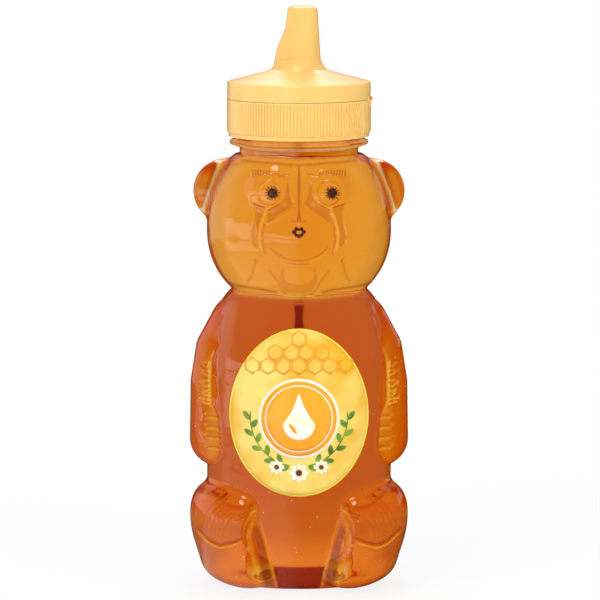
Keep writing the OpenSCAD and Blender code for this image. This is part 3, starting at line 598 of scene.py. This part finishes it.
def plates(name, shapes, low, high, material, lines_too=False):
    """Thin plates on the bear's front between two gaps: shapes are (middle, outline, steps)."""
    verts, faces = [], []
    for middle, outline, steps in shapes:
        n = len(outline)
        shares = np.linspace(0, 1, steps + 1)[1:]
        flat = np.concatenate([[np.zeros(2)], (shares[:, None, None] * outline).reshape(-1, 2)]) + middle
        rise = relief(flat[:, 0], flat[:, 1])[0] if lines_too else 0
        half = 1 + steps * n
        start = len(verts)
        for gap in (high, low):
            verts += np.stack([flat[:, 0], on_front(flat[:, 0], flat[:, 1], gap + rise), flat[:, 1]], axis=-1).tolist()
        for o, flip in ((start, False), (start + half, True)):
            web = [(o, o + 1 + i, o + 1 + (i + 1) % n) for i in range(n)]
            web += [(o + 1 + k * n + i, o + 1 + k * n + n + i, o + 1 + k * n + n + (i + 1) % n, o + 1 + k * n + (i + 1) % n)
                    for k in range(steps - 1) for i in range(n)]
            faces += [face[::-1] for face in web] if flip else web
        edge = start + 1 + (steps - 1) * n
        faces += [(edge + i, edge + half + i, edge + half + (i + 1) % n, edge + (i + 1) % n) for i in range(n)]
    return add_piece(name, verts, faces, material, "bottle")


def egg(half_w, half_h, count=72):
    """Outline of the label's egg shape, a little narrower at the top."""
    t = np.linspace(0, 2 * np.pi, count + 1)[:-1]
    return np.stack([half_w * np.cos(t) * (1 - 0.05 * np.sin(t)), half_h * np.sin(t)], axis=-1)


def leaf(length, width, tilt, count=20):
    """Outline of a pointed leaf or petal of the given length, tilted."""
    t = np.linspace(0, 2 * np.pi, count + 1)[:-1]
    x = length / 2 * np.cos(t)
    y = width / 2 * np.sin(t) * np.abs(np.sin(t)) ** 0.35
    return np.stack([x * math.cos(tilt) - y * math.sin(tilt), x * math.sin(tilt) + y * math.cos(tilt)], axis=-1)


def many_sided(r, sides, tilt=0.0):
    """Outline of a regular shape."""
    t = np.linspace(0, 2 * np.pi, sides + 1)[:-1] + tilt
    return np.stack([r * np.cos(t), r * np.sin(t)], axis=-1)


def drop(r, count=32):
    """Outline of a hanging drop of honey."""
    t = np.linspace(0, 2 * np.pi, count + 1)[:-1]
    up = np.clip(np.sin(t), 0, 1)
    return np.stack([r * np.cos(t) * (1 - 0.75 * up ** 1.2), r * np.sin(t) * (1 + 0.9 * up ** 2)], axis=-1)


def printed(name, low_hex, high_hex, scale, roughness=0.32):
    """Ink on film: two close hues in soft clouds, under a thin varnish."""
    tree, material = new_material(name)
    place = add_node(tree, "ShaderNodeTexCoord")
    cloud = add_node(tree, "ShaderNodeTexNoise", [("Vector", place, "Object")], Scale=scale, Detail=2.0)
    ramp = add_node(tree, "ShaderNodeValToRGB", [("Fac", cloud, "Fac")])
    ramp.color_ramp.elements[0].position = 0.38
    ramp.color_ramp.elements[0].color = linear(low_hex)
    ramp.color_ramp.elements[1].position = 0.62
    ramp.color_ramp.elements[1].color = linear(high_hex)
    shader = add_node(tree, "ShaderNodeBsdfPrincipled", [("Base Color", ramp, "Color")], Roughness=roughness,
                      Coat_Weight=0.25)
    add_node(tree, "ShaderNodeOutputMaterial", [("Surface", shader, "BSDF")])
    return material


edge_yellow = printed("film_printed_bright_yellow", "#ffe640", "#ffee5a", 90.0)
cream_gold = printed("film_printed_cream_and_gold", "#f6da72", "#efb21e", 70.0)
orange = printed("film_printed_orange", "#f9a11c", "#fbb12a", 60.0)
cream = printed("film_printed_cream", "#fff4cf", "#fffaf0", 200.0)
brown = printed("film_printed_brown", "#6b3410", "#84481a", 300.0)
green = printed("film_printed_green", "#4f7a26", "#84ad3a", 250.0)
middle = np.array([0, label_z])
front_label = plates("label_film", [(middle, egg(*label_half), 16)], label_gap, label_gap + label_t, edge_yellow)
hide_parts("front_label")
top = label_gap + label_t
ground = (label_half[0] - 0.4, label_half[1] - 0.4)
plates("label_ground", [(middle, egg(*ground), 16)], top - 0.01, top + 0.02, cream_gold)
cell_r = 2.5
cells = []
for row in range(3):
    for column in range(-4, 5):
        spot = np.array([(column + 0.5 * (row % 2)) * cell_r * 1.78, 21.2 - 3.85 * row])
        if math.hypot(spot[0] / (ground[0] - 2.4), spot[1] / (ground[1] - 2.0)) < 1:
            cells.append(spot + middle)
plates("label_comb", [(c, many_sided(cell_r, 6, math.pi / 6), 3) for c in cells], top + 0.01, top + 0.04, orange)
plates("label_comb_cells", [(c, many_sided(cell_r - 0.42, 6, math.pi / 6), 3) for c in cells], top + 0.03, top + 0.06,
       cream_gold)
seal = middle + (0, -1.5)
plates("label_ring", [(seal, many_sided(11.6, 64), 10)], top + 0.04, top + 0.08, cream)
plates("label_disc", [(seal, many_sided(10.8, 64), 10)], top + 0.07, top + 0.11, orange)
plates("label_rule", [(seal, many_sided(9.7, 64), 9)], top + 0.1, top + 0.13, cream)
plates("label_disc_inner", [(seal, many_sided(9.35, 64), 9)], top + 0.12, top + 0.15, orange)
plates("label_drop", [(seal + (0, -1.6), drop(4.6), 6)], top + 0.14, top + 0.18, cream)
plates("label_drop_shine", [(seal + (-1.7, -2.9), leaf(3.6, 1.1, 2.2), 3)], top + 0.17, top + 0.2, orange)
sprigs, stems = [], []
for side in (-1, 1):
    for i in range(9):
        turn_out = math.radians(270 + side * (16 + 9.5 * i))
        along = np.array([math.cos(turn_out), math.sin(turn_out)])
        stems.append((seal + 13.9 * along, leaf(2.9, 0.4, turn_out + math.pi / 2), 2))
        sprigs.append((seal + (12.9 if i % 2 else 15.0) * along, leaf(3.0, 1.5, turn_out + side * (2.3 if i % 2 else 0.9)), 4))
plates("label_stems", stems, top + 0.04, top + 0.07, green)
plates("label_leaves", sprigs, top + 0.05, top + 0.09, green)
blooms, hearts = [], []
for x, z, r in ((0, -17.2, 2.6), (-6.4, -15.6, 2.0), (6.4, -15.6, 2.0)):
    for i in range(8):
        a = 2 * np.pi * i / 8
        blooms.append((middle + (x + r * 0.55 * math.cos(a), z + r * 0.55 * math.sin(a)), leaf(r * 1.15, r * 0.62, a), 3))
    hearts.append((middle + (x, z), many_sided(r * 0.36, 16), 2))
plates("label_blossoms", blooms, top + 0.1, top + 0.14, cream)
plates("label_blossom_hearts", hearts, top + 0.13, top + 0.17, brown)


# FACE PRINTS
# Pupils and nose are stamped on the skin in dark brown ink, which beads into small dots.
tree, ink = new_material("stamped_dark_brown_ink")
place = add_node(tree, "ShaderNodeTexCoord")
grain = add_node(tree, "ShaderNodeTexNoise", [("Vector", place, "Object")], Scale=1800.0, Detail=3.0)
tone = add_node(tree, "ShaderNodeValToRGB", [("Fac", grain, "Fac")])
tone.color_ramp.elements[0].position = 0.4
tone.color_ramp.elements[0].color = linear("#1e0a06")
tone.color_ramp.elements[1].position = 0.68
tone.color_ramp.elements[1].color = linear("#6d2c17")
shader = add_node(tree, "ShaderNodeBsdfPrincipled", [("Base Color", tone, "Color")], Roughness=0.45)
add_node(tree, "ShaderNodeOutputMaterial", [("Surface", shader, "BSDF")])
for name, x in (("left_pupil", 9.4), ("right_pupil", -7.5)):
    dots = [(np.array([x, 116.8]), many_sided(1.4, 14), 2)]
    for i in range(15):
        a = 2 * np.pi * i / 15 + 0.2 * draws.random()
        r = 1.5 + 0.35 * draws.random()
        dots.append((np.array([x + r * math.cos(a), 116.8 + r * math.sin(a)]), leaf(0.95, 0.36, a), 2))
    pupil = plates(name + "_ink", dots, label_gap, label_gap + 0.1, ink, lines_too=True)
    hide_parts(name)
nose = [((x, 106 + z), many_sided(r, 12), 2) for x, z, r in
        ((-1.35, 0.1, 0.62), (1.35, 0.1, 0.62), (-0.75, 0.9, 0.55), (0.75, 0.9, 0.55), (-0.8, -0.75, 0.5),
         (0.8, -0.75, 0.5), (0, -1.1, 0.6), (0, 0.75, 0.35))]
nose_ink = plates("nose_ink", nose, label_gap, label_gap + 0.1, ink, lines_too=True)
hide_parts("nose_print")


# STUDIO
# A white sweep and soft lamps, with a long lens that looks slightly down at the bear's face.
world = bpy.data.worlds.new("studio")
bpy.context.scene.world = world
world.use_nodes = True
sky = world.node_tree
sky.nodes.clear()
rays = add_node(sky, "ShaderNodeLightPath")
way = add_node(sky, "ShaderNodeTexCoord")


def lobe(aim, low, high):
    """A soft patch of light in the studio: 1 towards aim, 0 away from it."""
    facing = add_node(sky, "ShaderNodeVectorMath", [(0, way, "Generated")], operation="DOT_PRODUCT")
    facing.inputs[1].default_value = Vector(aim).normalized()
    return add_node(sky, "ShaderNodeMapRange", [("Value", facing, "Value")], interpolation_type="SMOOTHSTEP",
                    From_Min=low, From_Max=high)


def added(*parts):
    """Strength of a few patches of light together: (patch, strength) pairs, and a base."""
    total = None
    for patch, strength in parts[:-1]:
        total = add_node(sky, "ShaderNodeMath", [(0, patch, 0)] + ([(2, total, 0)] if total else []),
                         operation="MULTIPLY_ADD")
        total.inputs[1].default_value = strength
        if total.inputs[2].is_linked is False:
            total.inputs[2].default_value = parts[-1]
    return total


# Seen through the honey, the room is bright behind the bear and dim in front of it
through = added((lobe((0, 1, 0.02), 0.1, 0.5), 0.75), (lobe((0, 1, 0.02), 0.6, 0.985), 0.15), 0.12)
# Mirrored on the skin, it is bright on the left from the bear's side round to its back, above
# behind it and in a small lamp overhead, with a thin strip on the right
mirrored = added((lobe((-0.9, 0.45, 0), 0.78, 0.95), 0.9), (lobe((0.6, 0.8, 0), 0.97, 0.99), 0.6),
                 (lobe((0, 0.75, 0.65), 0.78, 0.95), 0.9), (lobe((-0.1, -0.15, 1), 0.985, 0.992), 9.0), 0.06)
lit = add_node(sky, "ShaderNodeBackground", Color=(1, 1, 1, 1), Strength=0.45)
seen_through = add_node(sky, "ShaderNodeBackground", [("Strength", through, 0)], Color=(1, 1, 1, 1))
seen_mirrored = add_node(sky, "ShaderNodeBackground", [("Strength", mirrored, 0)], Color=linear("#ffe2d6"))
plain = add_node(sky, "ShaderNodeBackground", Color=(1, 1, 1, 1), Strength=1.0)
mixed = add_node(sky, "ShaderNodeMixShader", [(0, rays, "Is Glossy Ray"), (1, lit, 0), (2, seen_mirrored, 0)])
mixed = add_node(sky, "ShaderNodeMixShader", [(0, rays, "Is Transmission Ray"), (1, mixed, 0), (2, seen_through, 0)])
mixed = add_node(sky, "ShaderNodeMixShader", [(0, rays, "Is Camera Ray"), (1, mixed, 0), (2, plain, 0)])
add_node(sky, "ShaderNodeOutputWorld", [("Surface", mixed, 0)])

# The sweep is white paper. Seen straight on it is white, with a soft shadow near the bear; light through the honey
# finds it bright behind the bear, with a painted amber pool of light round the bear's foot; mirrored in the skin it
# glows far off on the left and in bands towards the front left.
tree, paper = new_material("white_paper_sweep")
rays = add_node(tree, "ShaderNodeLightPath")
way = add_node(tree, "ShaderNodeTexCoord")
away = add_node(tree, "ShaderNodeVectorMath", [(0, way, "Object")], operation="LENGTH")
share = add_node(tree, "ShaderNodeMapRange", [("Value", away, "Value")], interpolation_type="SMOOTHSTEP",
                 From_Min=0.05, From_Max=0.3, To_Min=0.85, To_Max=1.0)
axes = add_node(tree, "ShaderNodeSeparateXYZ", [(0, way, "Object")])
flat = add_node(tree, "ShaderNodeCombineXYZ", [("X", axes, "X"), ("Y", axes, "Y")])
facing = add_node(tree, "ShaderNodeVectorMath", [(0, flat, "Vector")], operation="NORMALIZE")
axes = add_node(tree, "ShaderNodeSeparateXYZ", [(0, facing, "Vector")])
wide = add_node(tree, "ShaderNodeMapRange", [("Value", axes, "Y")], interpolation_type="SMOOTHSTEP",
                From_Min=0.1, From_Max=0.5, To_Min=0.12, To_Max=0.87)
narrow = add_node(tree, "ShaderNodeMapRange", [("Value", axes, "Y")], interpolation_type="SMOOTHSTEP",
                  From_Min=0.6, From_Max=0.985, To_Min=0.0, To_Max=0.15)
spread = add_node(tree, "ShaderNodeMath", [(0, wide, "Result"), (1, narrow, "Result")], operation="ADD")
under = add_node(tree, "ShaderNodeMapRange", [("Value", away, "Value")], interpolation_type="SMOOTHSTEP",
                 From_Min=0.028, From_Max=0.06, To_Min=0.75, To_Max=0.0)
spread = add_node(tree, "ShaderNodeMath", [(0, spread, 0), (1, under, "Result")], operation="MAXIMUM")
# The painted amber pool of light round the bear's foot, seen only through the honey
painted_caustic_pool = add_node(tree, "ShaderNodeValToRGB", [("Fac", away, "Value")])
painted_caustic_pool.color_ramp.interpolation = "EASE"
for place, hue in ((0.024, "#e8a868"), (0.045, "#f4d8b0"), (0.075, "#ffffff")):
    painted_caustic_pool.color_ramp.elements.new(place).color = linear(hue)
painted_caustic_pool.color_ramp.elements.remove(painted_caustic_pool.color_ramp.elements[0])
painted_caustic_pool.color_ramp.elements.remove(painted_caustic_pool.color_ramp.elements[-1])
bent = add_node(tree, "ShaderNodeMath", [(0, rays, "Is Glossy Ray"), (1, rays, "Is Transmission Ray")],
                operation="MAXIMUM")
matt = add_node(tree, "ShaderNodeBsdfDiffuse", Color=linear("#f0f0f0"))
white = add_node(tree, "ShaderNodeEmission", Color=(1, 1, 1, 1), Strength=1.0)
sheen = add_node(tree, "ShaderNodeEmission", [("Strength", spread, 0), ("Color", painted_caustic_pool, "Color")])
seen = add_node(tree, "ShaderNodeMixShader", [(0, share, "Result"), (1, matt, 0), (2, white, 0)])
left = add_node(tree, "ShaderNodeVectorMath", [(0, facing, "Vector")], operation="DOT_PRODUCT")
left.inputs[1].default_value = Vector((-0.9, 0.45, 0)).normalized()
side = add_node(tree, "ShaderNodeMapRange", [("Value", left, "Value")], interpolation_type="SMOOTHSTEP",
                From_Min=0.78, From_Max=0.95)
far = add_node(tree, "ShaderNodeMapRange", [("Value", away, "Value")], interpolation_type="SMOOTHSTEP",
               From_Min=0.48, From_Max=0.62, To_Min=0.15, To_Max=0.9)
card = add_node(tree, "ShaderNodeVectorMath", [(0, facing, "Vector")], operation="DOT_PRODUCT")
card.inputs[1].default_value = Vector((-0.77, -0.64, 0)).normalized()
front = add_node(tree, "ShaderNodeMapRange", [("Value", card, "Value")], interpolation_type="SMOOTHSTEP",
                 From_Min=0.6, From_Max=0.8)
bands = add_node(tree, "ShaderNodeValToRGB", [("Fac", away, "Value")])
bands.color_ramp.interpolation = "EASE"
for place, hue in ((0.05, "#b0a09a"), (0.20, "#b0a09a"), (0.25, "#605450"), (0.31, "#fff0ea"), (0.55, "#fff0ea"),
                   (0.63, "#000000")):
    bands.color_ramp.elements.new(place).color = linear(hue)
side_far = add_node(tree, "ShaderNodeMath", [(0, side, "Result"), (1, far, "Result")], operation="MULTIPLY")
side_glow = add_node(tree, "ShaderNodeEmission", [("Strength", side_far, 0)], Color=linear("#f4e4dc"))
card_share = add_node(tree, "ShaderNodeMath", [(0, front, "Result")], operation="MULTIPLY")
card_share.inputs[1].default_value = 1.7
card_glow = add_node(tree, "ShaderNodeEmission", [("Strength", card_share, 0), ("Color", bands, "Color")])
dim = add_node(tree, "ShaderNodeAddShader", [(0, side_glow, 0), (1, card_glow, 0)])
mixed = add_node(tree, "ShaderNodeMixShader", [(0, rays, "Is Transmission Ray"), (1, dim, 0), (2, sheen, 0)])
mixed = add_node(tree, "ShaderNodeMixShader", [(0, bent, 0), (1, matt, 0), (2, mixed, 0)])
mixed = add_node(tree, "ShaderNodeMixShader", [(0, rays, "Is Camera Ray"), (1, mixed, 0), (2, seen, 0)])
add_node(tree, "ShaderNodeOutputMaterial", [("Surface", mixed, 0)])
floor_half = 20
floor_mesh = bpy.data.meshes.new("floor")
floor_mesh.from_pydata([(-floor_half, -floor_half, 0), (floor_half, -floor_half, 0), (floor_half, floor_half, 0),
                        (-floor_half, floor_half, 0)], [], [(0, 1, 2, 3)])
floor_mesh.materials.append(paper)
floor = bpy.data.objects.new("floor", floor_mesh)
bpy.context.collection.objects.link(floor)

# A sheet of painted shade close behind the bear, which only light through the honey meets: it tints that light mauve
# behind the body and pink behind the neck
shade_sheet_top = 0.145
shade_sheet_half = 0.022
tree, painted_shade_gauze = new_material("warm_painted_shade_gauze")
way = add_node(tree, "ShaderNodeTexCoord")
axes = add_node(tree, "ShaderNodeSeparateXYZ", [(0, way, "Object")])
height = add_node(tree, "ShaderNodeMapRange", [("Value", axes, "Z")], From_Max=shade_sheet_top)
shade_sheet_by_height = add_node(tree, "ShaderNodeValToRGB", [("Fac", height, "Result")])
shade_sheet_by_height.color_ramp.interpolation = "EASE"
for place, hue in ((0.005, "#fbd5ff"), (0.014, "#e0b0d8"), (0.026, "#d79fd8"), (0.074, "#d79fd8"), (0.082, "#ffffff"),
                   (0.114, "#ffffff"), (0.120, "#e6a8a1")):
    shade_sheet_by_height.color_ramp.elements.new(place / shade_sheet_top).color = linear(hue)
shade_sheet_by_height.color_ramp.elements.remove(shade_sheet_by_height.color_ramp.elements[0])
shade_sheet_by_height.color_ramp.elements.remove(shade_sheet_by_height.color_ramp.elements[-1])
shader = add_node(tree, "ShaderNodeBsdfTransparent", [("Color", shade_sheet_by_height, "Color")])
add_node(tree, "ShaderNodeOutputMaterial", [("Surface", shader, 0)])
shade_sheet_mesh = bpy.data.meshes.new("painted_shade_sheet")
shade_sheet_mesh.from_pydata([(-shade_sheet_half, 0.034, 0.001), (shade_sheet_half, 0.034, 0.001), (shade_sheet_half, 0.034, shade_sheet_top),
                        (-shade_sheet_half, 0.034, shade_sheet_top)], [], [(0, 1, 2, 3)])
shade_sheet_mesh.materials.append(painted_shade_gauze)
painted_shade_sheet = bpy.data.objects.new("painted_shade_sheet", shade_sheet_mesh)
bpy.context.collection.objects.link(painted_shade_sheet)
for eye in ("camera", "diffuse", "glossy", "shadow"):
    setattr(painted_shade_sheet, "visible_" + eye, False)

for name, place, size, watts in (("key_lamp", (-0.7, -0.7, 0.75), 0.6, 7.0), ("fill_lamp", (0.8, -0.6, 0.4), 0.6, 5.0),
                                ("top_lamp", (0.0, 0.55, 0.95), 0.7, 5.0)):
    lamp = bpy.data.lights.new(name, "AREA")
    lamp.size = size
    lamp.energy = watts
    lamp_object = bpy.data.objects.new(name, lamp)
    lamp_object.location = place
    lamp_object.rotation_euler = (Vector((0, 0, 0.09)) - Vector(place)).to_track_quat("-Z", "Y").to_euler()
    lamp_object.visible_glossy = name == "top_lamp"
    lamp_object.visible_transmission = False
    bpy.context.collection.objects.link(lamp_object)

camera = bpy.data.cameras.new("camera")
camera.lens = 166.06
camera.sensor_width = 36
camera_object = bpy.data.objects.new("camera", camera)
camera_object.location = (0.0003, -0.8, 0.203)
camera_object.rotation_euler = Vector((0, 0.8, 0.0829 - 0.203)).to_track_quat("-Z", "Y").to_euler()
bpy.context.collection.objects.link(camera_object)
bpy.context.scene.camera = camera_object
bpy.context.scene.view_settings.view_transform = "Standard"
